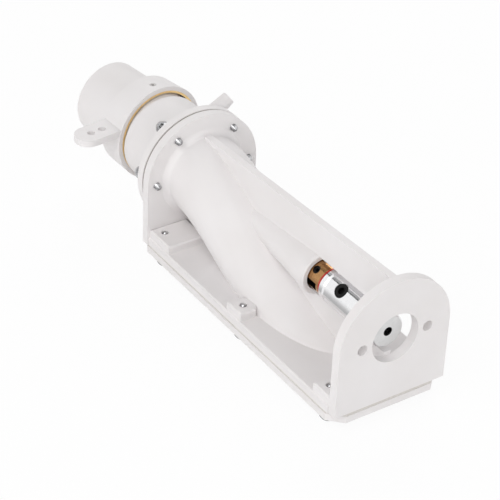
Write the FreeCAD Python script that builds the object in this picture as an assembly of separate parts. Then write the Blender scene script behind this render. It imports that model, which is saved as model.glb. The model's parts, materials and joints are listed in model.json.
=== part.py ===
import FreeCAD, Part
import math
import os

# Water jet thruster for a model boat. Millimetres, +Z up, +Y aft, +X to starboard.
# The origin is on the shaft axis, in the front face of the motor plate.

# Fits and clearances
press_gap = 0.01
running_gap = 0.04
pivot_gap = 0.05
screw_gap = 0.1
tip_gap = 0.3
swing_gap = 0.35
plate_inset = 0.2
overrun = 1.0
edge_slack = 0.1

# Printed frame
motor_plate_inset = 0.4
motor_plate_thickness = 3.4
motor_register_radius = 8.8
motor_screw_spacing = 25.0
motor_screw_hole_radius = 1.85
frame_bottom = -23.2
base_thickness = 3.0
base_half_width = 21.6
frame_edge = 0.5
transom_front = 110.7
transom_thickness = 3.2

# Spine web with its tapered shaft tube
web_thickness = 2.6
web_top_front = 20.9
web_top_rear = 15.6
web_root_radius = 1.6
window_half_height = 7.3
tube_front = 39.5
tube_front_radius = 7.6
tube_waist = 75.0
tube_waist_radius = 4.3
tube_rear = 90.0
tube_rim_chamfer = 0.5
tube_rear_wall = 0.4
collar_pocket_radius = 5.7
shaft_passage_radius = 2.5

# Intake duct, a loft from the round throat down to the long mouth in the base
throat_radius = 13.0
duct_wall = 1.6
mouth_half_width = 14.3
mouth_front = 18.5
mouth_rear = 84.5
duct_roof = ((0, 0), (0.11, 0.024), (0.23, 0.12), (0.37, 0.285),
             (0.53, 0.5), (0.72, 0.72), (0.92, 0.88), (1, 1))
duct_floor = ((0, 0), (0.18, 0.035), (0.35, 0.128), (0.52, 0.279),
              (0.68, 0.477), (0.81, 0.674), (0.91, 0.849), (1, 1))
duct_root_radius = 2.6
duct_root_bite = 0.05

# Bottom plate, gasket and the screws that clamp them
base_gasket_thickness = 1.1
base_gasket_inset = 0.15
bottom_plate_thickness = 3.0
bottom_plate_corner = 4.9
bottom_plate_rear_corner = 2.0
boss_height = 3.0
boss_width = 8.4
boss_corner = 2.0
boss_end_length = 9.0
boss_rear_length = 12.5
boss_rear_width = 15.0
boss_root_depth = 0.5
base_screw_x = 17.4
base_screw_front = 8.6
base_screw_rear = 106.8
base_screw_radius = 1.2
base_head_radius = 2.7
base_head_height = 3.4
base_screw_stand_out = 0.2
head_bevel_share = 0.3

# Shaft, coupling, collar and bearings
shaft_radius = 2.0
shaft_front = 21.0
shaft_end_gap = 0.5
shaft_end_bevel = 0.4
coupling_front = 3.9
coupling_length = 29.5
coupling_radius = 5.9
coupling_chamfer = 0.5
coupling_groove_depth = 0.5
coupling_groove_width = 1.0
coupling_groove_from_end = 2.2
motor_shaft_bore_radius = 1.6
motor_shaft_bore_length = 15.0
grub_radius = 2.5
grub_point_radius = 1.2
grub_shoulder = 3.3
grub_socket_radius = 1.25
grub_socket_depth = 1.5
grub_sink = 0.3
grub_seat_gap = 0.1
grub_angle = 130.0
grub_front_y = 10.5
grub_rear_y = 24.0
washer_thickness = 0.8
washer_radius = 5.3
collar_body_length = 7.3
collar_radius = 5.3
collar_grub_radius = 1.4
collar_socket_radius = 0.7
collar_grub_sink = 0.5
collar_grub_seat_gap = 0.05
collar_pockets = 6
collar_pocket_length = 5.0
collar_pocket_half = 1.5
collar_pocket_depth = 1.6
collar_nose_radius = 2.75
collar_nose_length = 0.5
bearing_radius = 4.5
bearing_width = 4.0
bearing_race = 0.8
bearing_shield_thickness = 0.3
shaft_bush_radius = 3.0
shaft_bush_length = 7.0

# Pump housing and its gasket and screws
pump_gasket_thickness = 0.8
pump_gasket_inset = 0.3
pump_bore_radius = 14.0
pump_flange_thickness = 3.5
housing_wall = 1.9
housing_length = 22.9
housing_edge = 0.6
pump_bolt_edge = 3.5
pump_bolt_angles = (0.0, 50.0, 124.0, 180.0)
pump_screw_radius = 1.2
pump_head_radius = 2.5
pump_head_height = 5.0
pump_head_gap = 0.1
pump_screw_stand_out = 3.3

# Cooling water nipple on the pump housing
nipple_angle = 35.0
nipple_from_flange = 9.5
nipple_stand_out = 9.8
nipple_radius = 2.4
nipple_root_radius = 3.3
nipple_bore_radius = 1.3
nipple_port_share = 0.9
nipple_root_inset = 0.4
nipple_seat_gap = 0.05

# Impeller, stator and fixed outlet nozzle
impeller_from_transom = 3.4
impeller_length = 8.0
impeller_hub_radius = 5.4
impeller_nose_length = 2.5
impeller_blades = 3
vane_sections = 4
impeller_turn = 76.0
impeller_edge = 0.5
impeller_root_half = 0.8
impeller_tip_half = 1.6
vane_root_depth = 1.0
lock_nut_flats = 7.0
lock_nut_length = 3.2
lock_nut_bevel = 0.6
stator_from_impeller = 1.2
stator_vanes = 5
stator_turn = 14.0
stator_first_vane = 18.0
stator_vane_half = 0.6
stator_sleeve_wall = 0.9
stator_tail_length = 9.0
stator_tail_radius = 1.2
stator_tail_shoulder = 5.4
stator_tail_shoulder_radius = 3.24
rear_bush_radius = 3.2
rear_bush_length = 6.0
nozzle_spigot_length = 2.4
nozzle_neck_radius = 14.4
nozzle_ball_rear = 3.0
nozzle_cone_radius = 13.0
nozzle_tip_from_pivot = 8.7
nozzle_tip_radius = 11.0
nozzle_wall = 1.5

# Steering nozzle with its brass ring, horn and pivot pins
steer_swing = 8.0
steer_rest_angle = 6.0
steer_bore_radius = 15.4
steer_wall = 1.2
steer_ring_length = 1.2
steer_ring_wall = 0.8
steer_front_radius = 17.8
steer_collar_length = 10.2
steer_collar_radius = 17.2
steer_shoulder_length = 0.8
steer_tube_radius = 14.2
steer_tube_length = 18.2
steer_end_radius = 13.9
steer_tube_wall = 1.4
steer_edge = 0.5
steer_bore_runout = 1.0
ring_to_pivot = 4.1
pivot_radius = 1.2
pivot_pin_length = 5.3
pivot_pin_rise = 0.9
pivot_socket_radius = 0.6
pivot_socket_depth = 0.9
horn_reach = 32.0
horn_width = 10.0
horn_top = 6.4
horn_thickness = 2.4
horn_from_pivot = 1.2
horn_root_depth = 1.54
horn_hole_radius = 1.4
horn_hole_x = (21.2, 25.8)

# Places that follow from the sizes above
half_web = web_thickness / 2
motor_plate_radius = base_half_width - motor_plate_inset
housing_radius = pump_bore_radius + housing_wall
pump_bolt_circle = housing_radius + pump_head_radius + pump_head_gap
pump_flange_radius = pump_bolt_circle + pump_bolt_edge
transom_radius = pump_flange_radius
transom_rear = transom_front + transom_thickness
base_top = frame_bottom + base_thickness
gasket_bottom = frame_bottom - base_gasket_thickness
plate_bottom = gasket_bottom - bottom_plate_thickness
bottom_plate_half_width = base_half_width - plate_inset
boss_top = base_top + boss_height
base_screw_rows = (base_screw_front, (base_screw_front + base_screw_rear) / 2, base_screw_rear)
coupling_rear = coupling_front + coupling_length
washer_rear = coupling_rear + washer_thickness
collar_rear = washer_rear + collar_body_length + collar_nose_length
bearing_rear = collar_rear + bearing_width
pump_front = transom_rear + pump_gasket_thickness
flange_rear = pump_front + pump_flange_thickness
housing_rear = pump_front + housing_length
impeller_front = transom_rear + impeller_from_transom
impeller_rear = impeller_front + impeller_length
impeller_root_radius = shaft_radius + vane_root_depth
stator_front = impeller_rear + stator_from_impeller
spigot_front = housing_rear - nozzle_spigot_length
rear_bush_rear = stator_front + rear_bush_length
steer_radius = steer_bore_radius + steer_wall
steer_ring_radius = steer_bore_radius + steer_ring_wall
pivot_outer = steer_radius + pivot_pin_rise
pivot_inner = pivot_outer - pivot_pin_length
swing = math.radians(steer_swing)
ring_sweep = ring_to_pivot * math.cos(swing) + steer_radius * math.sin(swing)
pivot_y = housing_rear + swing_gap + ring_sweep
ring_front = pivot_y - ring_to_pivot
ring_rear = ring_front + steer_ring_length
collar_end = ring_rear + steer_collar_length
steer_end = collar_end + steer_shoulder_length + steer_tube_length
ball_radius = steer_bore_radius - swing_gap
ball_rear = pivot_y + nozzle_ball_rear
throat_outer_radius = throat_radius + duct_wall
nozzle_bore_radius = pump_bore_radius - press_gap - stator_sleeve_wall
nipple_y = flange_rear + nipple_from_flange
nipple_reach = housing_radius + nipple_stand_out

AXIS_X = FreeCAD.Vector(1, 0, 0)
AXIS_Y = FreeCAD.Vector(0, 1, 0)
AXIS_Z = FreeCAD.Vector(0, 0, 1)


def point(x, y, z):
    return FreeCAD.Vector(x, y, z)


def block(x0, x1, y0, y1, z0, z1):
    return Part.makeBox(x1 - x0, y1 - y0, z1 - z0, point(x0, y0, z0))


def rod_y(radius, y0, y1, x=0.0, z=0.0):
    return Part.makeCylinder(radius, y1 - y0, point(x, y0, z), AXIS_Y)


def rod_z(radius, z0, z1, x=0.0, y=0.0):
    return Part.makeCylinder(radius, z1 - z0, point(x, y, z0), AXIS_Z)


def revolve_y(profile):
    """A solid turned about the shaft axis from (y, radius) corners."""
    corners = [point(0, y, r) for y, r in profile]
    face = Part.Face(Part.makePolygon(corners + corners[:1]))
    return face.revolve(point(0, 0, 0), AXIS_Y, 360)


def ring_y(outer, inner, y0, y1):
    return revolve_y([(y0, inner), (y0, outer), (y1, outer), (y1, inner)])


def join(shapes):
    body = shapes[0].fuse(shapes[1:])
    return body.removeSplitter()


def on_circle(radius, degrees):
    """The x and z of a point on a circle about the shaft axis."""
    angle = math.radians(degrees)
    return radius * math.cos(angle), radius * math.sin(angle)


def turned(shape, degrees):
    """A copy turned about the shaft axis, from +X towards +Z."""
    copy = shape.copy()
    copy.rotate(point(0, 0, 0), AXIS_Y, -degrees)
    return copy


def arch_plate(half_width, y0, y1):
    """An upright plate with a round top about the shaft axis and a square foot."""
    foot = block(-half_width, half_width, y0, y1, frame_bottom, 0)
    above = block(-half_width, half_width, y0, y1, 0, half_width)
    return join([foot, rod_y(half_width, y0, y1).common(above)])


def pan_head_screw(radius, length, head_radius, head_height):
    """A screw along +Z with its head below z = 0 and a bevelled rim on the head."""
    bevel = head_height * head_bevel_share
    profile = [
        (0, length), (radius, length), (radius, 0), (head_radius, 0),
        (head_radius, bevel - head_height), (head_radius - bevel, -head_height), (0, -head_height),
    ]
    corners = [point(r, 0, z) for r, z in profile]
    face = Part.Face(Part.makePolygon(corners + corners[:1]))
    return face.revolve(point(0, 0, 0), AXIS_Z, 360)


# Intake duct

def duct_stations(inset):
    """Ellipses that lean from the upright throat to the level mouth.

    Each has its roof point, its floor point and its half width. The wall is an inset of all three.
    """
    run = transom_front - mouth_front
    fall = throat_outer_radius - frame_bottom
    roof = [(transom_front - way * run, throat_outer_radius - part * fall) for way, part in duct_roof]
    drop = transom_front - mouth_rear
    fall = -throat_outer_radius - frame_bottom
    floor = [(transom_front - way * drop, -throat_outer_radius - part * fall) for way, part in duct_floor]
    last = len(roof) - 1
    wires = []
    for index in range(len(roof)):
        top = point(0, *roof[index])
        low = point(0, *floor[index])
        centre = (top + low) * 0.5
        half_height = (top - low).Length / 2 - inset
        half_width = throat_outer_radius + (mouth_half_width - throat_outer_radius) * index / last - inset
        along = (top - low).normalize()
        wires.append(ellipse_wire(centre, along, half_height, half_width))
    return wires


def ellipse_wire(centre, along, half_height, half_width):
    """An ellipse in the plane of +X and the unit vector along, begun on its long axis."""
    if half_height >= half_width:
        ellipse = Part.Ellipse(centre + along * half_height, centre + AXIS_X * half_width, centre)
        return Part.Wire(ellipse.toShape())
    ellipse = Part.Ellipse(centre + AXIS_X * half_width, centre + along * half_height, centre)
    return Part.Wire(ellipse.toShape())


def duct_form(inset):
    return Part.makeLoft(duct_stations(inset), True, False)


def mouth_cut(z0, z1):
    """The water way through a level plate below the duct."""
    centre = point(0, (mouth_front + mouth_rear) / 2, z0)
    half_length = (mouth_rear - mouth_front) / 2 - duct_wall
    wire = ellipse_wire(centre, AXIS_Y, half_length, mouth_half_width - duct_wall)
    return Part.Face(wire).extrude(point(0, 0, z1 - z0))


def shaft_tube_form():
    return revolve_y([
        (tube_front, 0), (tube_front, tube_front_radius - tube_rim_chamfer),
        (tube_front + tube_rim_chamfer, tube_front_radius),
        (tube_waist, tube_waist_radius), (tube_rear - tube_waist_radius / 2, tube_waist_radius),
        (tube_rear, shaft_bush_radius + tube_rear_wall), (tube_rear, 0),
    ])


def make_intake_duct():
    shell = duct_form(0).cut(duct_form(duct_wall))
    foot = throat_outer_radius + duct_root_radius
    root_front = transom_front - duct_root_radius
    flare = ring_y(foot, throat_outer_radius - duct_wall / 2, root_front, transom_front)
    centre = point(0, root_front, 0)
    hollow = Part.makeTorus(foot, duct_root_radius + duct_root_bite, centre, AXIS_Y)
    shell = join([shell, flare.cut(hollow)])
    return shell.cut(shaft_tube_form())


def flare_space():
    """The room that the duct's root flare takes in the web and the rib."""
    foot = throat_outer_radius + duct_root_radius
    return rod_y(foot, transom_front - duct_root_radius, transom_front + overrun)


# Base with its screw bosses

def screw_holes(z0, z1):
    holes = []
    for x in (-base_screw_x, base_screw_x):
        for y in base_screw_rows:
            holes.append(rod_z(base_screw_radius + screw_gap, z0, z1, x, y))
    return holes


def make_base_flange():
    y0, y1 = motor_plate_thickness, transom_front
    base = block(-base_half_width, base_half_width, y0, y1, frame_bottom, base_top)
    top = [edge for edge in base.Edges if edge.BoundBox.ZMin > base_top - edge_slack]
    sides = [edge for edge in top if edge.BoundBox.YLength > base_thickness]
    base = base.makeChamfer(frame_edge, sides)
    middle = base_screw_rows[1]
    spans = [
        (motor_plate_thickness, motor_plate_thickness + boss_end_length, boss_width),
        (middle - boss_width / 2, middle + boss_width / 2, boss_width),
        (transom_front - boss_rear_length, transom_front, boss_rear_width),
    ]
    outer = base_half_width - frame_edge
    bosses = []
    for y0, y1, width in spans:
        inner = base_half_width - width
        boss = block(inner, outer, y0, y1, base_top - boss_root_depth, boss_top)
        uprights = [edge for edge in boss.Edges if edge.BoundBox.ZLength > boss_height / 2]
        corners = [edge for edge in uprights if edge.BoundBox.XMax < outer - edge_slack]
        if width == boss_width:
            boss = boss.makeChamfer(boss_corner, corners)
        top = [edge for edge in boss.Edges if edge.BoundBox.ZMin > boss_top - edge_slack]
        boss = boss.makeChamfer(frame_edge, top)
        bosses += [boss, boss.mirror(point(0, 0, 0), AXIS_X)]
    base = join([base] + bosses)
    return base.cut([duct_form(0)] + screw_holes(frame_bottom - overrun, boss_top + overrun))


def cornered_plate(half_width, y0, y1, z0, z1, front_corner, rear_corner):
    plate = block(-half_width, half_width, y0, y1, z0, z1)
    for corner, y in ((front_corner, y0), (rear_corner, y1)):
        uprights = [edge for edge in plate.Edges if edge.BoundBox.ZLength > (z1 - z0) / 2]
        uprights = [edge for edge in uprights if abs(edge.BoundBox.YMax - y) < edge_slack]
        plate = plate.makeChamfer(corner, uprights)
    return plate


def make_bottom_plate():
    front, rear = bottom_plate_corner, bottom_plate_rear_corner
    plate = cornered_plate(bottom_plate_half_width, 0, transom_rear, plate_bottom, gasket_bottom, front, rear)
    rims = [edge for edge in plate.Edges if edge.BoundBox.ZMax < plate_bottom + edge_slack]
    plate = plate.makeChamfer(frame_edge, rims)
    water_way = mouth_cut(plate_bottom - overrun, gasket_bottom + overrun)
    return plate.cut([water_way] + screw_holes(plate_bottom - overrun, gasket_bottom + overrun))


def make_base_gasket():
    half_width = bottom_plate_half_width - base_gasket_inset
    inset = base_gasket_inset
    corners = (bottom_plate_corner - inset, bottom_plate_rear_corner - inset)
    sheet = cornered_plate(half_width, inset, transom_rear - inset, gasket_bottom, frame_bottom, *corners)
    water_way = mouth_cut(gasket_bottom - overrun, frame_bottom + overrun)
    return sheet.cut([water_way] + screw_holes(gasket_bottom - overrun, frame_bottom + overrun))


def make_base_screws():
    screws = []
    length = boss_top + base_screw_stand_out - plate_bottom
    for x in (-base_screw_x, base_screw_x):
        for y in base_screw_rows:
            screw = pan_head_screw(base_screw_radius, length, base_head_radius, base_head_height)
            screw.translate(point(x, y, plate_bottom))
            screws.append(screw)
    return Part.makeCompound(screws)


# Upright plates

def make_motor_plate():
    plate = arch_plate(motor_plate_radius, 0, motor_plate_thickness)
    cuts = [rod_y(motor_register_radius, -overrun, motor_plate_thickness + overrun)]
    for x in (-motor_screw_spacing / 2, motor_screw_spacing / 2):
        cuts.append(rod_y(motor_screw_hole_radius, -overrun, motor_plate_thickness + overrun, x))
    return plate.cut(cuts)


def pump_screw_places():
    return [on_circle(pump_bolt_circle, angle) for angle in pump_bolt_angles]


def pump_screw_holes(y0, y1):
    return [rod_y(pump_screw_radius + screw_gap, y0, y1, x, z) for x, z in pump_screw_places()]


def make_transom_plate():
    plate = arch_plate(transom_radius, transom_front, transom_rear)
    return plate.cut([rod_y(throat_radius, transom_front - overrun, transom_rear + overrun)]
                     + pump_screw_holes(transom_front - overrun, transom_rear + overrun))


def make_transom_gasket():
    ring = ring_y(transom_radius - pump_gasket_inset, pump_bore_radius, transom_rear, pump_front)
    return ring.cut(pump_screw_holes(transom_rear - overrun, pump_front + overrun))


# Spine web and shaft tube

def make_spine_web():
    y0 = motor_plate_thickness
    fall = (web_top_front - web_top_rear) / (transom_front - y0)
    start = transom_front - web_root_radius
    start_top = web_top_front - fall * (start - y0)
    root_top = start_top + web_root_radius
    half_chord = web_root_radius * math.sin(math.pi / 4)
    middle = point(0, start + half_chord, root_top - half_chord)
    outline = [
        Part.makeLine(point(0, y0, base_top), point(0, y0, web_top_front)),
        Part.makeLine(point(0, y0, web_top_front), point(0, start, start_top)),
        Part.Arc(point(0, start, start_top), middle, point(0, transom_front, root_top)).toShape(),
        Part.makeLine(point(0, transom_front, root_top), point(0, transom_front, base_top)),
        Part.makeLine(point(0, transom_front, base_top), point(0, y0, base_top)),
    ]
    web = Part.Face(Part.Wire(outline)).extrude(point(web_thickness, 0, 0))
    web.translate(point(-half_web, 0, 0))
    side, half_height = half_web + overrun, window_half_height
    window = block(-side, side, y0 - overrun, tube_front, -half_height, half_height)
    tube_form = shaft_tube_form()
    web = web.cut([window, duct_form(0), flare_space()])
    front_web = max(web.Solids, key=lambda solid: solid.Volume)
    body = join([front_web, tube_form])
    cuts = [
        rod_y(collar_pocket_radius, tube_front - overrun, collar_rear),
        rod_y(bearing_radius + press_gap, tube_front, bearing_rear),
        rod_y(shaft_passage_radius, tube_front, tube_rear + overrun),
        rod_y(shaft_bush_radius + press_gap, tube_rear - shaft_bush_length, tube_rear + overrun),
    ]
    return body.cut(cuts)


def make_duct_rib():
    """The short rib that carries the web on below the duct to the transom."""
    rib = block(-half_web, half_web, mouth_rear, transom_front, base_top, -throat_radius)
    pieces = rib.cut([duct_form(0), flare_space()]).Solids
    return min(pieces, key=lambda solid: solid.BoundBox.ZMin + abs(solid.BoundBox.YMax - transom_front))


# Shaft line

def make_shaft():
    end = rear_bush_rear - shaft_end_gap
    bevel = shaft_end_bevel
    return revolve_y([
        (shaft_front, 0), (shaft_front, shaft_radius - bevel), (shaft_front + bevel, shaft_radius),
        (end - bevel, shaft_radius), (end, shaft_radius - bevel), (end, 0),
    ])


def grub_place(y, radius):
    x, z = on_circle(radius, grub_angle)
    return point(x, y, z)


def grub_direction():
    x, z = on_circle(1.0, grub_angle)
    return point(x, 0, z)


def make_coupling():
    groove = coupling_rear - coupling_groove_from_end
    bore = shaft_radius + press_gap
    split = coupling_front + motor_shaft_bore_length
    body = revolve_y([
        (coupling_front, 0), (coupling_front, coupling_radius - coupling_chamfer),
        (coupling_front + coupling_chamfer, coupling_radius),
        (groove - coupling_groove_width, coupling_radius),
        (groove - coupling_groove_width / 2, coupling_radius - coupling_groove_depth),
        (groove, coupling_radius), (coupling_rear - coupling_chamfer, coupling_radius),
        (coupling_rear, coupling_radius - coupling_chamfer), (coupling_rear, 0),
    ])
    cuts = [
        rod_y(motor_shaft_bore_radius, coupling_front - overrun, split + overrun),
        rod_y(bore, split, coupling_rear + overrun),
    ]
    for y in (grub_front_y, grub_rear_y):
        cuts.append(grub_form(y, 0, coupling_radius + overrun, press_gap))
    return body.cut(cuts)


def grub_form(y, inner, outer, gap):
    """A set screw with its narrower point, or its hole, between two distances from the shaft."""
    step = grub_shoulder - inner - gap + overrun
    tip = Part.makeCylinder(grub_point_radius + gap, step, grub_place(y, inner), grub_direction())
    body = Part.makeCylinder(grub_radius + gap, outer - grub_shoulder + gap,
                             grub_place(y, grub_shoulder - gap), grub_direction())
    return join([tip, body])


def make_coupling_grubs():
    grubs = []
    face = coupling_radius - grub_sink
    for y, bore in ((grub_front_y, motor_shaft_bore_radius), (grub_rear_y, shaft_radius + press_gap)):
        grub = grub_form(y, bore + grub_seat_gap, face, 0)
        mouth = grub_place(y, face - grub_socket_depth)
        depth = grub_socket_depth + overrun
        grubs.append(grub.cut(Part.makeCylinder(grub_socket_radius, depth, mouth, grub_direction())))
    return Part.makeCompound(grubs)


def make_red_washer():
    return ring_y(washer_radius, shaft_radius + press_gap, coupling_rear, washer_rear)


def make_stop_collar():
    bore = shaft_radius + press_gap
    shoulder = washer_rear + collar_body_length
    body = revolve_y([
        (washer_rear, bore), (washer_rear, collar_radius), (shoulder, collar_radius),
        (shoulder, collar_nose_radius), (collar_rear, collar_nose_radius), (collar_rear, bore),
    ])
    middle = washer_rear + collar_body_length / 2
    hole = collar_grub_radius + press_gap
    cuts = [Part.makeCylinder(hole, collar_radius + overrun, point(0, middle, 0), grub_direction())]
    half = collar_pocket_half
    bed = collar_radius - collar_pocket_depth
    y0 = middle - collar_pocket_length / 2
    pocket = block(-half, half, y0, y0 + collar_pocket_length, bed, collar_radius + overrun)
    for index in range(1, collar_pockets):
        cuts.append(turned(pocket, grub_angle - 90 + index * 360.0 / collar_pockets))
    return body.cut(cuts)


def make_collar_grub():
    middle = washer_rear + collar_body_length / 2
    seat = shaft_radius + press_gap + collar_grub_seat_gap
    length = collar_radius - seat - collar_grub_sink
    grub = Part.makeCylinder(collar_grub_radius, length, grub_place(middle, seat), grub_direction())
    depth = length / 2
    mouth = grub_place(middle, seat + length - depth)
    socket = Part.makeCylinder(collar_socket_radius, depth + overrun, mouth, grub_direction())
    return grub.cut(socket)


def make_bearing_outer_race():
    inner = bearing_radius - bearing_race
    shield = shaft_radius + bearing_race + running_gap * 2
    lip = bearing_shield_thickness
    return revolve_y([
        (collar_rear, shield), (collar_rear, bearing_radius), (bearing_rear, bearing_radius),
        (bearing_rear, shield), (bearing_rear - lip, shield), (bearing_rear - lip, inner),
        (collar_rear + lip, inner), (collar_rear + lip, shield),
    ])


def make_bearing_inner_race():
    return ring_y(shaft_radius + bearing_race, shaft_radius + press_gap, collar_rear, bearing_rear)


def make_shaft_bush():
    bore = shaft_radius + running_gap
    return ring_y(shaft_bush_radius, bore, tube_rear - shaft_bush_length, tube_rear)


# Pump

def make_pump_housing():
    bore = pump_bore_radius
    edge = housing_edge
    shell = revolve_y([
        (pump_front, bore), (pump_front, pump_flange_radius), (flange_rear - edge, pump_flange_radius),
        (flange_rear, pump_flange_radius - edge), (flange_rear, housing_radius),
        (housing_rear - edge, housing_radius), (housing_rear, housing_radius - edge),
        (housing_rear, bore),
    ])
    x, z = on_circle(1.0, nipple_angle)
    hole = nipple_radius + press_gap
    port = Part.makeCylinder(hole, nipple_reach, point(0, nipple_y, 0), point(x, 0, z))
    cuts = pump_screw_holes(pump_front - overrun, flange_rear + overrun)
    cuts += [port, rod_y(bore, pump_front - overrun, housing_rear + overrun)]
    return shell.cut(cuts)


def make_pump_screws():
    screws = []
    length = flange_rear - transom_front + pump_screw_stand_out
    for x, z in pump_screw_places():
        screw = pan_head_screw(pump_screw_radius, length, pump_head_radius, pump_head_height)
        screw.rotate(point(0, 0, 0), AXIS_X, 90)
        screw.translate(point(x, flange_rear, z))
        screws.append(screw)
    return Part.makeCompound(screws)


def make_cooling_nipple():
    """A tapered hose nipple that points outward from the pump bore."""
    root = math.sqrt(pump_bore_radius ** 2 - nipple_radius ** 2) + nipple_root_inset
    seat = housing_radius + nipple_seat_gap
    bore = nipple_bore_radius
    corners = [
        (root, bore), (root, nipple_radius), (seat, nipple_radius), (seat, nipple_root_radius),
        (nipple_reach, nipple_radius), (nipple_reach, bore),
    ]
    face = Part.Face(Part.makePolygon([point(r, 0, s) for s, r in corners + corners[:1]]))
    nipple = face.revolve(point(0, 0, 0), AXIS_Z, 360)
    nipple.rotate(point(0, 0, 0), AXIS_Y, 90 - nipple_angle)
    nipple.translate(point(0, nipple_y, 0))
    return nipple


def helical_vane(y0, y1, turn, root, tip, root_half, tip_half):
    """A vane of constant pitch: a wedge-shaped section from root to tip that turns as it goes aft."""
    wires = []
    for index in range(vane_sections):
        part_way = index / (vane_sections - 1)
        y = y0 + (y1 - y0) * part_way
        root_z = math.sqrt(root ** 2 - root_half ** 2)
        tip_z = math.sqrt(tip ** 2 - tip_half ** 2)
        corners = [point(-root_half, y, root_z), point(-tip_half, y, tip_z),
                   point(tip_half, y, tip_z), point(root_half, y, root_z)]
        section = Part.makePolygon(corners + corners[:1])
        wires.append(turned(section, turn * (part_way - 0.5)))
    return Part.makeLoft(wires, True, False)


def make_impeller():
    tip = pump_bore_radius - tip_gap
    hub = revolve_y([
        (impeller_front, 0), (impeller_front, lock_nut_flats / 2),
        (impeller_front + impeller_nose_length, impeller_hub_radius),
        (impeller_rear, impeller_hub_radius), (impeller_rear, 0),
    ])
    one = helical_vane(impeller_front + impeller_edge, impeller_rear - impeller_edge, impeller_turn,
                       impeller_root_radius, tip, impeller_root_half, impeller_tip_half)
    blades = [turned(one, index * 360.0 / impeller_blades) for index in range(impeller_blades)]
    wheel = join([hub] + blades)
    bore = shaft_radius + press_gap
    return wheel.cut(rod_y(bore, impeller_front - overrun, impeller_rear + overrun))


def make_impeller_nut():
    y0 = impeller_front - lock_nut_length
    corner = lock_nut_flats / math.sqrt(3)
    corners = []
    for index in range(6):
        x, z = on_circle(corner, 60 * index)
        corners.append(point(x, y0, z))
    face = Part.Face(Part.makePolygon(corners + corners[:1]))
    nut = face.extrude(point(0, lock_nut_length, 0))
    dressed = revolve_y([
        (y0, 0), (y0, lock_nut_flats / 2), (y0 + lock_nut_bevel, corner),
        (impeller_front, corner), (impeller_front, 0),
    ])
    bore = shaft_radius + press_gap
    return nut.common(dressed).cut(rod_y(bore, y0 - overrun, impeller_front + overrun))


def make_stator():
    outer = pump_bore_radius - press_gap
    inner = outer - stator_sleeve_wall
    sleeve = ring_y(outer, inner, stator_front, spigot_front)
    hub = revolve_y([
        (stator_front, 0), (stator_front, impeller_hub_radius), (spigot_front, impeller_hub_radius),
        (spigot_front + stator_tail_shoulder, stator_tail_shoulder_radius),
        (spigot_front + stator_tail_length, stator_tail_radius), (spigot_front + stator_tail_length, 0),
    ])
    one = helical_vane(stator_front + impeller_edge, spigot_front - impeller_edge, -stator_turn,
                       impeller_hub_radius - vane_root_depth, outer - stator_sleeve_wall / 2,
                       stator_vane_half, stator_vane_half)
    step = 360.0 / stator_vanes
    vanes = [turned(one, stator_first_vane + index * step) for index in range(stator_vanes)]
    body = join([sleeve, hub] + vanes)
    x, z = on_circle(1.0, nipple_angle)
    port_start = inner * nipple_port_share
    inside = point(x * port_start, nipple_y, z * port_start)
    port = Part.makeCylinder(nipple_bore_radius, outer + overrun, inside, point(x, 0, z))
    pocket = rod_y(rear_bush_radius + press_gap, stator_front - overrun, rear_bush_rear)
    return body.cut([port, pocket])


def make_rear_bush():
    return ring_y(rear_bush_radius, shaft_radius + running_gap, stator_front, rear_bush_rear)


def make_outlet_nozzle():
    """A spigot in the pump bore, a ball about the pivot and a cone that speeds the water up."""
    spigot = pump_bore_radius - press_gap
    tip_y = pivot_y + nozzle_tip_from_pivot
    bore = nozzle_tip_radius - nozzle_wall
    neck_rear = pivot_y - math.sqrt(ball_radius ** 2 - nozzle_neck_radius ** 2)
    ball = Part.makeSphere(ball_radius, point(0, pivot_y, 0))
    ball = ball.common(rod_y(ball_radius + overrun, neck_rear, ball_rear))
    neck = revolve_y([
        (spigot_front, 0), (spigot_front, spigot), (housing_rear, spigot),
        (housing_rear, nozzle_neck_radius), (neck_rear, nozzle_neck_radius), (neck_rear, 0),
    ])
    cone = revolve_y([
        (ball_rear, 0), (ball_rear, nozzle_cone_radius), (tip_y, nozzle_tip_radius), (tip_y, 0),
    ])
    hollow = revolve_y([
        (spigot_front - overrun, 0), (spigot_front - overrun, nozzle_bore_radius),
        (spigot_front, nozzle_bore_radius), (tip_y, bore), (tip_y + overrun, bore), (tip_y + overrun, 0),
    ])
    body = join([neck, ball, cone]).cut(hollow)
    reach = ball_radius + overrun
    pins = rod_z(pivot_radius + press_gap, -reach, reach, 0, pivot_y)
    core = rod_z(pivot_radius + overrun, -pivot_inner, pivot_inner, 0, pivot_y)
    return body.cut(pins.cut(core))


# Steering

def at_rest(shape):
    """Turns a steering piece about the pivot to the angle at which the jet rests."""
    copy = shape.copy()
    copy.rotate(point(0, pivot_y, 0), AXIS_Z, steer_rest_angle)
    return copy


def make_steering_nozzle():
    shoulder = collar_end + steer_shoulder_length
    end_bore = steer_end_radius - steer_tube_wall
    shoulder_bore = steer_tube_radius - steer_tube_wall
    edge = steer_edge
    bore_end = collar_end - steer_bore_runout
    form = revolve_y([
        (ring_front, 0), (ring_front, steer_front_radius), (collar_end - edge, steer_collar_radius),
        (collar_end, steer_collar_radius - edge), (shoulder, steer_tube_radius),
        (steer_end, steer_end_radius), (steer_end, 0),
    ])
    hollow = revolve_y([
        (ring_rear - overrun, 0), (ring_rear - overrun, steer_bore_radius),
        (bore_end, steer_bore_radius), (shoulder, shoulder_bore), (steer_end, end_bore),
        (steer_end + overrun, end_bore), (steer_end + overrun, 0),
    ])
    ring_seat = rod_y(steer_ring_radius + press_gap, ring_front - overrun, ring_rear)
    reach = steer_front_radius + overrun
    pivot_holes = rod_z(pivot_radius + pivot_gap, -reach, reach, 0, pivot_y)
    return at_rest(join([form, make_horn()]).cut([hollow, ring_seat, pivot_holes]))


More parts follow.
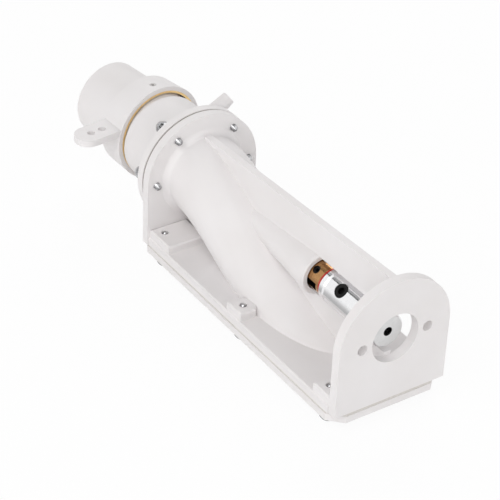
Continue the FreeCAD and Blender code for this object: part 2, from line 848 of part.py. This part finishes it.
def make_horn():
    """The steering horn on the port side, with two pushrod holes."""
    bottom = horn_top - horn_thickness
    end = -horn_reach + horn_width / 2
    middle = pivot_y + horn_from_pivot
    root = horn_root_depth - steer_bore_radius
    arm = block(end, root, middle - horn_width / 2, middle + horn_width / 2, bottom, horn_top)
    tip = rod_z(horn_width / 2, bottom, horn_top, end, middle)
    horn = join([arm, tip])
    low, high = bottom - overrun, horn_top + overrun
    return horn.cut([rod_z(horn_hole_radius, low, high, -x, middle) for x in horn_hole_x])


def make_steering_ring():
    return at_rest(ring_y(steer_ring_radius, steer_bore_radius, ring_front, ring_rear))


def make_pivot_pins():
    pins = []
    for side in (-1, 1):
        low, high = sorted((side * pivot_inner, side * pivot_outer))
        pin = rod_z(pivot_radius, low, high, 0, pivot_y)
        face = side * pivot_outer
        low, high = sorted((face - side * pivot_socket_depth, face + side))
        pins.append(pin.cut(rod_z(pivot_socket_radius, low, high, 0, pivot_y)))
    return Part.makeCompound(pins)


parts = {
    "base_flange": make_base_flange,
    "intake_duct": make_intake_duct,
    "motor_plate": make_motor_plate,
    "transom_plate": make_transom_plate,
    "spine_web": make_spine_web,
    "duct_rib": make_duct_rib,
    "base_gasket": make_base_gasket,
    "bottom_plate": make_bottom_plate,
    "base_screws": make_base_screws,
    "transom_gasket": make_transom_gasket,
    "pump_housing": make_pump_housing,
    "pump_screws": make_pump_screws,
    "cooling_nipple": make_cooling_nipple,
    "stator": make_stator,
    "rear_bush": make_rear_bush,
    "outlet_nozzle": make_outlet_nozzle,
    "pivot_pins": make_pivot_pins,
    "bearing_outer_race": make_bearing_outer_race,
    "shaft_bush": make_shaft_bush,
    "drive_shaft": make_shaft,
    "shaft_coupling": make_coupling,
    "coupling_grub_screws": make_coupling_grubs,
    "red_washer": make_red_washer,
    "stop_collar": make_stop_collar,
    "collar_grub_screw": make_collar_grub,
    "bearing_inner_race": make_bearing_inner_race,
    "impeller": make_impeller,
    "impeller_nut": make_impeller_nut,
    "steering_nozzle": make_steering_nozzle,
    "steering_ring": make_steering_ring,
}

os.makedirs("parts", exist_ok=True)
for name, make in parts.items():
    shape = make()
    box = shape.BoundBox
    size = f"{box.XLength:.1f} x {box.YLength:.1f} x {box.ZLength:.1f}"
    state = "valid" if shape.isValid() else "INVALID"
    print(name, len(shape.Solids), "solid", state, size, f"{shape.Volume:.0f}")
    shape.exportStep(f"parts/{name}.step")
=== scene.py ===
import json
import math

import bmesh
import bpy
from mathutils import Matrix, Vector


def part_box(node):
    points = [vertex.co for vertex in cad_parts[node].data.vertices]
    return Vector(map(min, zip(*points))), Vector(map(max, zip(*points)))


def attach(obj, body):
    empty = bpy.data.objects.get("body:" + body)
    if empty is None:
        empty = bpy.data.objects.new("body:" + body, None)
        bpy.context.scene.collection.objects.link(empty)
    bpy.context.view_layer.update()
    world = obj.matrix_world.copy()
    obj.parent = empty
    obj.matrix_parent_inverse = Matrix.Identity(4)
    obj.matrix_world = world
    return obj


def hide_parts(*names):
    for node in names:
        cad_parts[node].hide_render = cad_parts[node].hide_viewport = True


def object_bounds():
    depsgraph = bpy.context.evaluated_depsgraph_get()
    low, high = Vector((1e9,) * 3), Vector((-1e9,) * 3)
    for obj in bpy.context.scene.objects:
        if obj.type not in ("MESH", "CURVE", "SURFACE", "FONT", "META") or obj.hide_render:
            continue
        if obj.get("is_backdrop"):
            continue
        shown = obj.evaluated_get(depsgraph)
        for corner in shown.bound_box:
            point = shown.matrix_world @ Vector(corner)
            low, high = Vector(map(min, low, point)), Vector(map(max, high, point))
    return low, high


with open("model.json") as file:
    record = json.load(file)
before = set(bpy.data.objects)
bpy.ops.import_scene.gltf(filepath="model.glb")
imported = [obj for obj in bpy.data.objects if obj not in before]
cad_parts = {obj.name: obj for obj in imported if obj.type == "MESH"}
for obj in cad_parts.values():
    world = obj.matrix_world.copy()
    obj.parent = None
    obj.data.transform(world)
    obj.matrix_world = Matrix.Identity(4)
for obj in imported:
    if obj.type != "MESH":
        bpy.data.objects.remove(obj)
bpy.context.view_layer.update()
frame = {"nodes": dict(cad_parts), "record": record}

# The photograph's view
camera_place = Vector((-0.32085, -0.38057, 0.37025))
camera_azimuth = math.radians(-34.85)
camera_elevation = math.radians(34.44)
camera_roll = math.radians(2.55)
camera_lens_mm = 144.84
camera_sensor_mm = 36.0
camera_clip_start = 0.01
camera_clip_end = 50.0

# Colours, linear
white_plastic_tone = (0.80, 0.778, 0.779)
white_plastic_shade = (0.765, 0.738, 0.733)
polished_tone = (0.92, 0.92, 0.93)
polished_shade = (0.82, 0.82, 0.83)
square_face_tone = (0.74, 0.74, 0.74)
square_face_shade = (0.63, 0.63, 0.63)
cage_tone = (0.52, 0.29, 0.12)
cage_shade = (0.35, 0.18, 0.07)
# Painted shade, nearly black, for the stop collar's pockets
pocket_painted_shade_tone = (0.030, 0.022, 0.014)
pocket_painted_shade_deep = (0.010, 0.008, 0.006)
floor_tone = (0.92, 0.92, 0.92)
floor_shade = (0.90, 0.90, 0.90)
room_white = (1.0, 1.0, 1.0)
wall_light = (0.75, 0.75, 0.75)
ceiling_light = (0.09, 0.09, 0.09)

# Most values of a noise texture lie between these
noise_low = 0.3
noise_high = 0.7

# Stretches noise into fine lines round the shaft's axis
turned_about_shaft = (1.0, 60.0, 1.0)

# The stop collar gets painted shade, nearly black, within the first radius and is bronze beyond the
# second
pocket_radius = 0.00505
rim_radius = 0.0052

plastic_roughness_range = 0.12
plastic_wave_depth = 0.00006


# Material tools

def new_material(name):
    """A new material with its nodes, links and shader."""
    material = bpy.data.materials.new(name)
    material.use_nodes = True
    nodes = material.node_tree.nodes
    return material, nodes, material.node_tree.links, nodes["Principled BSDF"]


def object_coordinates(nodes):
    return nodes.new("ShaderNodeTexCoord").outputs["Object"]


def noise(nodes, links, scale, detail=4.0, roughness=0.5, stretch=None):
    """A noise texture in object space, stretched along an axis where asked."""
    texture = nodes.new("ShaderNodeTexNoise")
    texture.inputs["Scale"].default_value = scale
    texture.inputs["Detail"].default_value = detail
    texture.inputs["Roughness"].default_value = roughness
    place = object_coordinates(nodes)
    if stretch:
        mapping = nodes.new("ShaderNodeMapping")
        mapping.inputs["Scale"].default_value = stretch
        links.new(place, mapping.inputs["Vector"])
        place = mapping.outputs["Vector"]
    links.new(place, texture.inputs["Vector"])
    return texture.outputs["Fac"]


def fine_lines(nodes, links, scale, stretch=turned_about_shaft):
    """The noise of a turned surface, or of a ground one where the stretch is None."""
    return noise(nodes, links, scale, detail=3.0, roughness=0.6, stretch=stretch)


def ramp(nodes, links, value, stops):
    """A colour ramp from (place, colour) stops."""
    node = nodes.new("ShaderNodeValToRGB")
    elements = node.color_ramp.elements
    while len(elements) < len(stops):
        elements.new(0.5)
    for element, (place, colour) in zip(elements, stops):
        element.position = place
        element.color = (*colour, 1.0)
    links.new(value, node.inputs["Fac"])
    return node.outputs["Color"]


def mottled(nodes, links, value, first, second):
    """Two colours blended by a noise value, the first where it is low."""
    return ramp(nodes, links, value, [(noise_low, first), (noise_high, second)])


def map_range(nodes, links, value, start, end, low=0.0, high=1.0):
    """Low at the start and below it, high at the end and above it."""
    node = nodes.new("ShaderNodeMapRange")
    node.inputs["From Min"].default_value = start
    node.inputs["From Max"].default_value = end
    node.inputs["To Min"].default_value = low
    node.inputs["To Max"].default_value = high
    links.new(value, node.inputs["Value"])
    return node.outputs["Result"]


def spread(nodes, links, value, low, high):
    """A noise value brought into the range from low to high."""
    return map_range(nodes, links, value, noise_low, noise_high, low, high)


def bump(nodes, links, shader, height, distance, strength=1.0, below=None):
    """A bump for the shader, on top of the one below where that is given."""
    node = nodes.new("ShaderNodeBump")
    node.inputs["Strength"].default_value = strength
    node.inputs["Distance"].default_value = distance
    links.new(height, node.inputs["Height"])
    if below:
        links.new(below, node.inputs["Normal"])
    links.new(node.outputs["Normal"], shader.inputs["Normal"])
    return node.outputs["Normal"]


def radial_distance(nodes, links):
    """The distance of the surface from the shaft axis, in metres."""
    flat = nodes.new("ShaderNodeVectorMath")
    flat.operation = "MULTIPLY"
    flat.inputs[1].default_value = (1.0, 0.0, 1.0)
    links.new(object_coordinates(nodes), flat.inputs[0])
    length = nodes.new("ShaderNodeVectorMath")
    length.operation = "LENGTH"
    links.new(flat.outputs["Vector"], length.inputs[0])
    return length.outputs["Value"]


def facing_shaft(nodes, links):
    """1 on a face square to the shaft, 0 on one along it."""
    split = nodes.new("ShaderNodeSeparateXYZ")
    links.new(nodes.new("ShaderNodeTexCoord").outputs["Normal"], split.inputs["Vector"])
    facing = nodes.new("ShaderNodeMath")
    facing.operation = "ABSOLUTE"
    links.new(split.outputs["Y"], facing.inputs[0])
    return facing.outputs["Value"]


def mix_colour(nodes, links, factor, first, second):
    node = nodes.new("ShaderNodeMix")
    node.data_type = "RGBA"
    links.new(factor, node.inputs["Factor"])
    links.new(first, node.inputs["A"])
    links.new(second, node.inputs["B"])
    return node.outputs["Result"]


# Materials

def printed_plastic(name, roughness, grain_depth):
    """Sintered or printed white plastic: a faint cloudy tone and a fine grain."""
    material, nodes, links, shader = new_material(name)
    clouds = noise(nodes, links, scale=45.0, detail=3.0)
    tones = mottled(nodes, links, clouds, white_plastic_shade, white_plastic_tone)
    links.new(tones, shader.inputs["Base Color"])
    gloss = noise(nodes, links, scale=160.0)
    dullest = roughness + plastic_roughness_range
    links.new(spread(nodes, links, gloss, roughness, dullest), shader.inputs["Roughness"])
    shader.inputs["IOR"].default_value = 1.46
    shader.inputs["Specular IOR Level"].default_value = 0.25
    grain = noise(nodes, links, scale=3200.0, detail=2.0)
    fine = bump(nodes, links, shader, grain, grain_depth)
    waves = noise(nodes, links, scale=120.0, detail=2.0)
    bump(nodes, links, shader, waves, plastic_wave_depth, strength=0.5, below=fine)
    return material


def metal(name, tone, shade, low, high, scale, depth, stretch=turned_about_shaft, metallic=1.0):
    """Bare metal, turned or ground. Its roughness runs from low to high."""
    material, nodes, links, shader = new_material(name)
    lines = fine_lines(nodes, links, scale, stretch)
    links.new(mottled(nodes, links, lines, shade, tone), shader.inputs["Base Color"])
    links.new(spread(nodes, links, lines, low, high), shader.inputs["Roughness"])
    shader.inputs["Metallic"].default_value = metallic
    bump(nodes, links, shader, lines, depth)
    return material


def turned_aluminium(name):
    """A polished round, duller and darker on faces square to the shaft, with fine turning marks."""
    material, nodes, links, shader = new_material(name)
    lines = fine_lines(nodes, links, scale=220.0)
    bright = mottled(nodes, links, lines, polished_shade, polished_tone)
    dull = mottled(nodes, links, lines, square_face_shade, square_face_tone)
    end_face = map_range(nodes, links, facing_shaft(nodes, links), start=0.75, end=0.9)
    links.new(mix_colour(nodes, links, end_face, bright, dull), shader.inputs["Base Color"])
    finish = map_range(nodes, links, end_face, start=0.0, end=1.0, low=0.13, high=0.38)
    links.new(finish, shader.inputs["Roughness"])
    shader.inputs["Metallic"].default_value = 1.0
    bump(nodes, links, shader, lines, distance=0.000003)
    return material


def bronze_cage(name):
    """Turned bronze with painted shade, nearly black, down in its pockets."""
    material, nodes, links, shader = new_material(name)
    lines = fine_lines(nodes, links, scale=300.0)
    bright = mottled(nodes, links, lines, cage_shade, cage_tone)
    # Painted shade: the pockets are coloured nearly black
    dark = mottled(nodes, links, lines, pocket_painted_shade_deep, pocket_painted_shade_tone)
    outside = map_range(nodes, links, radial_distance(nodes, links), pocket_radius, rim_radius)
    links.new(mix_colour(nodes, links, outside, dark, bright), shader.inputs["Base Color"])
    shader.inputs["Metallic"].default_value = 0.8
    links.new(spread(nodes, links, lines, low=0.14, high=0.24), shader.inputs["Roughness"])
    bump(nodes, links, shader, lines, distance=0.000004)
    return material


def plain_finish(name, tone, shade, low, high, depth, specular=0.5):
    """Rubber, plain plastic or blackened steel. Its roughness runs from low to high."""
    material, nodes, links, shader = new_material(name)
    grain = noise(nodes, links, scale=900.0)
    links.new(mottled(nodes, links, grain, shade, tone), shader.inputs["Base Color"])
    links.new(spread(nodes, links, grain, low, high), shader.inputs["Roughness"])
    shader.inputs["Specular IOR Level"].default_value = specular
    bump(nodes, links, shader, grain, depth)
    return material


materials = {
    "white_print": printed_plastic("white_print", roughness=0.42, grain_depth=0.000012),
    "white_pump": printed_plastic("white_pump", roughness=0.36, grain_depth=0.000008),
    "white_plate": printed_plastic("white_plate", roughness=0.45, grain_depth=0.000015),
    "dark_gasket": plain_finish(
        "dark_gasket", tone=(0.38, 0.35, 0.33), shade=(0.28, 0.26, 0.24),
        low=0.6, high=0.8, depth=0.00002),
    "pale_gasket": plain_finish(
        "pale_gasket", tone=(0.69, 0.66, 0.63), shade=(0.59, 0.56, 0.53),
        low=0.6, high=0.8, depth=0.00002),
    # Painted reflection: the screws' base colour mixes bright and near-black patches, for chrome
    # that mirrors a varied room
    "screw_steel": metal(
        "screw_steel", tone=(0.62, 0.62, 0.63), shade=(0.17, 0.17, 0.175),
        low=0.08, high=0.18, scale=600.0, depth=0.000004, stretch=None),
    "pin_grey": plain_finish(
        "pin_grey", tone=(0.60, 0.58, 0.57), shade=(0.52, 0.50, 0.49),
        low=0.45, high=0.6, depth=0.000005),
    "brass": metal(
        "brass", tone=(0.95, 0.70, 0.34), shade=(0.86, 0.60, 0.26),
        low=0.35, high=0.50, scale=300.0, depth=0.000006, metallic=0.5),
    "polished_aluminium": turned_aluminium("polished_aluminium"),
    "black_steel": plain_finish(
        "black_steel", tone=(0.010, 0.010, 0.010), shade=(0.005, 0.005, 0.005),
        low=0.3, high=0.45, depth=0.000005, specular=0.15),
    "red_plastic": plain_finish(
        "red_plastic", tone=(0.50, 0.022, 0.014), shade=(0.36, 0.015, 0.010),
        low=0.2, high=0.3, depth=0.000004),
    "shaft_steel": metal(
        "shaft_steel", tone=(0.58, 0.58, 0.59), shade=(0.48, 0.48, 0.49),
        low=0.2, high=0.32, scale=260.0, depth=0.000004),
    "bronze": metal(
        "bronze", tone=(0.50, 0.17, 0.04), shade=(0.32, 0.09, 0.02),
        low=0.2, high=0.34, scale=300.0, depth=0.000006),
}

# These nodes have a finish of their own, and the others that of their slot
finish_of_node = {
    # The stop collar's material has painted shade in its pockets
    "stop_collar": bronze_cage("collar_bronze_with_painted_shade"),
    "pivot_pins": materials["pin_grey"],
    "base_gasket": materials["pale_gasket"],
}
slot_of_node = {part["node"]: part["material_slot"] for part in frame["record"]["subparts"]}
for node_name, node_object in frame["nodes"].items():
    node_material = finish_of_node.get(node_name, materials[slot_of_node[node_name]])
    for material_slot in node_object.material_slots:
        material_slot.material = node_material


# Screws with threads and cross recesses

turn_steps = 40
crown_steps = 14
thread_rows = 6
thread_pitch = 0.0006
thread_depth = 0.00022
shank_radius = 0.0012
sharp_angle = math.radians(38.0)

# Shares of the head's radius
recess_arm = 0.58
recess_half_width = 0.15
recess_slope = 0.10
seat_edge = 0.97

# Shares of the head's height
crown_height = 0.5
recess_height = 0.55
edge_height = 0.1

# Shares of the shank's radius
point_radius = 0.35
tip_radius = 0.3

# Angles from starboard, about the shaft
pump_screw_degrees = (0.0, 50.0, 124.0, 180.0)

turns = [2 * math.pi * index / turn_steps for index in range(turn_steps)]


def rim_point(radius, turn, height):
    return Vector((radius * math.cos(turn), radius * math.sin(turn), height))


def circle(radius, height):
    """A ring of points about the screw's own axis."""
    return [rim_point(radius, turn, height) for turn in turns]


def recess_depth(radius, turn, head_radius, head_height):
    """How deep the cross recess is at a point of the head, with sloping walls."""
    x = abs(radius * math.cos(turn))
    y = abs(radius * math.sin(turn))
    along, across = max(x, y), min(x, y)
    arm = head_radius * recess_arm
    half = head_radius * recess_half_width
    slope = head_radius * recess_slope
    end = max(0.0, (arm - along) / slope)
    side = max(0.0, (half + slope - across) / slope)
    return min(1.0, end, side) * head_height * recess_height


def crown_ring(step, head_radius, head_height):
    """A ring of the domed crown, with the cross recess in it."""
    radius = head_radius * step / crown_steps
    dome = -head_height * (1 - crown_height * (step / crown_steps) ** 3)
    ring = []
    for turn in turns:
        deep = recess_depth(radius, turn, head_radius, head_height)
        ring.append(rim_point(radius, turn, dome + deep))
    return ring


def thread_ring(height, length):
    """A ring of the thread, which narrows towards the point."""
    lead = min(1.0, (length - height) / shank_radius + point_radius)
    ring = []
    for turn in turns:
        phase = (height / thread_pitch - turn / (2 * math.pi)) % 1.0
        radius = (shank_radius - thread_depth * (1 - abs(2 * phase - 1))) * lead
        ring.append(rim_point(radius, turn, height))
    return ring


def screw_rings(length, thread_length, head_radius, head_height):
    """Rings from the middle of the head, at the bottom, up to the tip of the shank."""
    plain_length = length - thread_length
    rings = [crown_ring(step, head_radius, head_height) for step in range(1, crown_steps + 1)]
    rings.append(circle(head_radius, -head_height * edge_height))
    rings.append(circle(head_radius * seat_edge, 0.0))
    rings.append(circle(shank_radius, 0.0))
    rings.append(circle(shank_radius, plain_length))
    rows = int(thread_length / thread_pitch * thread_rows)
    for row in range(1, rows):
        rings.append(thread_ring(plain_length + thread_length * row / rows, length))
    rings.append(circle(shank_radius * tip_radius, length))
    return rings


def skin(mesh, rings):
    """Joins rings of points into a closed skin. The first and last ring are small and get a cap."""
    made = [[mesh.verts.new(place) for place in ring] for ring in rings]
    for low, high in zip(made, made[1:]):
        for index in range(turn_steps):
            after = (index + 1) % turn_steps
            mesh.faces.new((low[index], low[after], high[after], high[index]))
    mesh.faces.new(list(reversed(made[0])))
    mesh.faces.new(made[-1])


def add_to_scene(name, data):
    """A new object in the scene with the given mesh, lamp or lens."""
    added = bpy.data.objects.new(name, data)
    bpy.context.scene.collection.objects.link(added)
    return added


def screw_set(name, node, places, length, thread_length, head_radius, head_height):
    """One object with a screw at each place. A place is the matrix of the seat under the head."""
    mesh = bmesh.new()
    rings = screw_rings(length, thread_length, head_radius, head_height)
    for place in places:
        skin(mesh, [[place @ corner for corner in ring] for ring in rings])
    bmesh.ops.recalc_face_normals(mesh, faces=mesh.faces[:])
    data = bpy.data.meshes.new(name)
    mesh.to_mesh(data)
    mesh.free()
    for face in data.polygons:
        face.use_smooth = True
    piece = add_to_scene(name, data)
    data.materials.append(materials["screw_steel"])
    data.set_sharp_from_angle(angle=sharp_angle)
    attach(piece, "frame")
    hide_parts(node)


def base_screw_set():
    """Three screws on each side of the base, head down."""
    head_radius, head_height, thread_length = 0.0027, 0.0034, 0.003
    low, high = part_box("base_screws")
    seat = low.z + head_height
    x = high.x - head_radius
    front, rear = low.y + head_radius, high.y - head_radius
    rows = (front, (front + rear) / 2, rear)
    places = [Matrix.Translation((side * x, y, seat)) for side in (-1, 1) for y in rows]
    screw_set("base_screws_detail", "base_screws", places, high.z - seat, thread_length,
              head_radius, head_height)


def pump_screw_set():
    """Four screws round the pump, head aft, that end a little short of the box's front."""
    head_radius, head_height, thread_length = 0.0025, 0.0050, 0.004
    bolt_circle_radius, stub_short = 0.0185, 0.0012
    low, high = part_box("pump_screws")
    seat = high.y - head_height
    forward = Matrix.Rotation(math.radians(90.0), 4, "X")
    places = []
    for degrees in pump_screw_degrees:
        angle = math.radians(degrees)
        x, z = bolt_circle_radius * math.cos(angle), bolt_circle_radius * math.sin(angle)
        places.append(Matrix.Translation((x, seat, z)) @ forward)
    screw_set("pump_screws_detail", "pump_screws", places, seat - low.y - stub_short, thread_length,
              head_radius, head_height)


base_screw_set()
pump_screw_set()


# Cards that only reflections meet, beside the polished metal: their greys are painted reflections
# of shade and of a dark room

card_distance = 0.30
card_near_radius = 0.04
card_half_way = 0.3
card_over_floor = 0.0003
card_roughness = 0.9


def hang_card(name, corners, near_tone, far_tone):
    """A card whose grey runs from the near tone, by the shaft, to the far tone, away from it."""
    mesh = bpy.data.meshes.new(name)
    mesh.from_pydata(corners, [], [tuple(range(len(corners)))])
    card = add_to_scene(name, mesh)
    card.visible_camera = False
    card.visible_diffuse = False
    card.visible_transmission = False
    card.visible_shadow = False
    material, nodes, links, shader = new_material(name)
    away = radial_distance(nodes, links)
    part = map_range(nodes, links, away, card_near_radius, card_distance)
    middle_tone = (near_tone + far_tone) / 2
    stops = [(0.0, (near_tone,) * 3), (card_half_way, (middle_tone,) * 3), (1.0, (far_tone,) * 3)]
    links.new(ramp(nodes, links, part, stops), shader.inputs["Base Color"])
    shader.inputs["Roughness"].default_value = card_roughness
    mesh.materials.append(material)
    card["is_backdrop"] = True


def standing_card(name, tone, degrees, width, low_y, high_y):
    """A card along the shaft's direction, at an angle about the shaft from +X towards +Z."""
    angle = math.radians(degrees)
    out = Vector((math.cos(angle), 0.0, math.sin(angle)))
    across = Vector((-math.sin(angle), 0.0, math.cos(angle))) * width / 2
    corners = []
    for side, y in ((-1, low_y), (1, low_y), (1, high_y), (-1, high_y)):
        corners.append(out * card_distance + across * side + Vector((0.0, y, 0.0)))
    hang_card(name, corners, tone, tone)


def lying_card(name, outline, near_tone, far_tone):
    """A card that lies on the floor beside the object. Darker by the shaft, it puts painted shade
    into reflections.
    """
    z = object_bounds()[0].z + card_over_floor
    hang_card(name, [(x, y, z) for x, y in outline], near_tone, far_tone)


# Studio

wall_top = 0.3
floor_half_width = 4.0
floor_roughness = 0.9
floor_whiteness = 0.94
lamp_target = Vector((0.0, 0.085, 0.0))


def light_path_mix(nodes, links, seen, given):
    """The first shader for what the camera, reflections and glass see, the second for the rest."""
    rays = nodes.new("ShaderNodeLightPath")
    chosen = rays.outputs["Is Camera Ray"]
    for kind in ("Is Glossy Ray", "Is Transmission Ray"):
        either = nodes.new("ShaderNodeMath")
        either.operation = "MAXIMUM"
        links.new(chosen, either.inputs[0])
        links.new(rays.outputs[kind], either.inputs[1])
        chosen = either.outputs["Value"]
    mix = nodes.new("ShaderNodeMixShader")
    links.new(chosen, mix.inputs["Fac"])
    links.new(given, mix.inputs[1])
    links.new(seen, mix.inputs[2])
    return mix.outputs["Shader"]


def studio_world():
    """A world that looks white and lights with pale walls under a darker ceiling."""
    world = bpy.data.worlds.new("studio")
    bpy.context.scene.world = world
    world.use_nodes = True
    nodes, links = world.node_tree.nodes, world.node_tree.links
    nodes.clear()
    output = nodes.new("ShaderNodeOutputWorld")
    backdrop = nodes.new("ShaderNodeBackground")
    backdrop.inputs["Color"].default_value = (*room_white, 1.0)
    backdrop.inputs["Strength"].default_value = 1.0
    place = nodes.new("ShaderNodeTexCoord").outputs["Generated"]
    split = nodes.new("ShaderNodeSeparateXYZ")
    links.new(place, split.inputs["Vector"])
    stops = [(0.0, wall_light), (wall_top, wall_light), (1.0, ceiling_light)]
    room = nodes.new("ShaderNodeBackground")
    links.new(ramp(nodes, links, split.outputs["Z"], stops), room.inputs["Color"])
    room.inputs["Strength"].default_value = 1.0
    mixed = light_path_mix(nodes, links, backdrop.outputs["Background"], room.outputs["Background"])
    links.new(mixed, output.inputs["Surface"])


def studio_floor():
    """A pale floor that takes the object's shadow and is otherwise as white as the backdrop."""
    low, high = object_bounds()
    centre = (low + high) / 2
    corners = []
    for side_x, side_y in ((-1, -1), (1, -1), (1, 1), (-1, 1)):
        x = centre.x + side_x * floor_half_width
        y = centre.y + side_y * floor_half_width
        corners.append((x, y, low.z))
    mesh = bpy.data.meshes.new("floor")
    mesh.from_pydata(corners, [], [(0, 1, 2, 3)])
    floor = add_to_scene("floor", mesh)
    material, nodes, links, shader = new_material("floor")
    shader.inputs["Roughness"].default_value = floor_roughness
    clouds = noise(nodes, links, scale=3.0)
    links.new(mottled(nodes, links, clouds, floor_tone, floor_shade), shader.inputs["Base Color"])
    glow = nodes.new("ShaderNodeEmission")
    glow.inputs["Color"].default_value = (*room_white, 1.0)
    glow.inputs["Strength"].default_value = 1.0
    seen = nodes.new("ShaderNodeMixShader")
    seen.inputs["Fac"].default_value = floor_whiteness
    links.new(shader.outputs["BSDF"], seen.inputs[1])
    links.new(glow.outputs["Emission"], seen.inputs[2])
    mixed = light_path_mix(nodes, links, seen.outputs["Shader"], shader.outputs["BSDF"])
    links.new(mixed, nodes["Material Output"].inputs["Surface"])
    mesh.materials.append(material)
    floor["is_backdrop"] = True


def soft_light(name, place, size, power):
    """A round lamp that points at the middle of the object."""
    lamp = bpy.data.lights.new(name, "AREA")
    lamp.shape = "DISK"
    lamp.size = size
    lamp.energy = power
    holder = add_to_scene(name, lamp)
    holder.location = place
    holder.rotation_mode = "QUATERNION"
    holder.rotation_quaternion = (lamp_target - Vector(place)).to_track_quat("-Z", "Y")


def studio_camera():
    back = Vector((math.sin(camera_azimuth) * math.cos(camera_elevation),
                   -math.cos(camera_azimuth) * math.cos(camera_elevation),
                   math.sin(camera_elevation)))
    level = Vector((math.cos(camera_azimuth), math.sin(camera_azimuth), 0.0))
    right = (Matrix.Rotation(camera_roll, 3, back) @ level).normalized()
    up = back.cross(right)
    lens = bpy.data.cameras.new("camera")
    lens.lens = camera_lens_mm
    lens.sensor_width = camera_sensor_mm
    lens.clip_start = camera_clip_start
    lens.clip_end = camera_clip_end
    holder = add_to_scene("camera", lens)
    turn = Matrix((right, up, back)).transposed()
    holder.matrix_world = Matrix.Translation(camera_place) @ turn.to_4x4()
    bpy.context.scene.camera = holder


studio_world()
studio_floor()
soft_light("key", place=(-0.55, -0.15, 0.75), size=0.7, power=3.7)
soft_light("fill", place=(-0.4, -0.7, 0.25), size=0.8, power=1.27)
soft_light("back", place=(0.5, 0.6, 0.7), size=0.7, power=3.0)
soft_light("front", place=(0.35, -0.85, 0.2), size=0.8, power=1.2)
soft_light("side", place=(-0.9, 0.15, 0.12), size=0.8, power=0.9)
# Painted reflections in the coupling: a dark line for the shadowed rim of the web's window, a grey
# strip for the shaded web above it
standing_card("coupling_painted_rim_reflection", tone=0.02, degrees=106.0, width=0.036, low_y=0.18, high_y=0.33)
standing_card("coupling_painted_web_reflection", tone=0.50, degrees=89.0, width=0.15, low_y=0.18, high_y=0.33)
# Painted shade in the coupling's lower reflections, darker near the shaft
lying_card("coupling_painted_low_shade", [(-0.36, 0.25), (-0.03, 0.02), (-0.03, 0.085), (-0.36, 0.40)],
           near_tone=0.50, far_tone=0.95)
# Painted reflections of a dark room in the chrome screw heads
standing_card("head_painted_reflection_high", tone=0.03, degrees=97.0, width=0.11, low_y=0.34, high_y=0.58)
standing_card("head_painted_reflection_middle", tone=0.03, degrees=150.0, width=0.08, low_y=0.34, high_y=0.58)
standing_card("head_painted_reflection_low", tone=0.03, degrees=200.0, width=0.13, low_y=0.34, high_y=0.58)
studio_camera()

bpy.context.scene.view_settings.view_transform = "Standard"
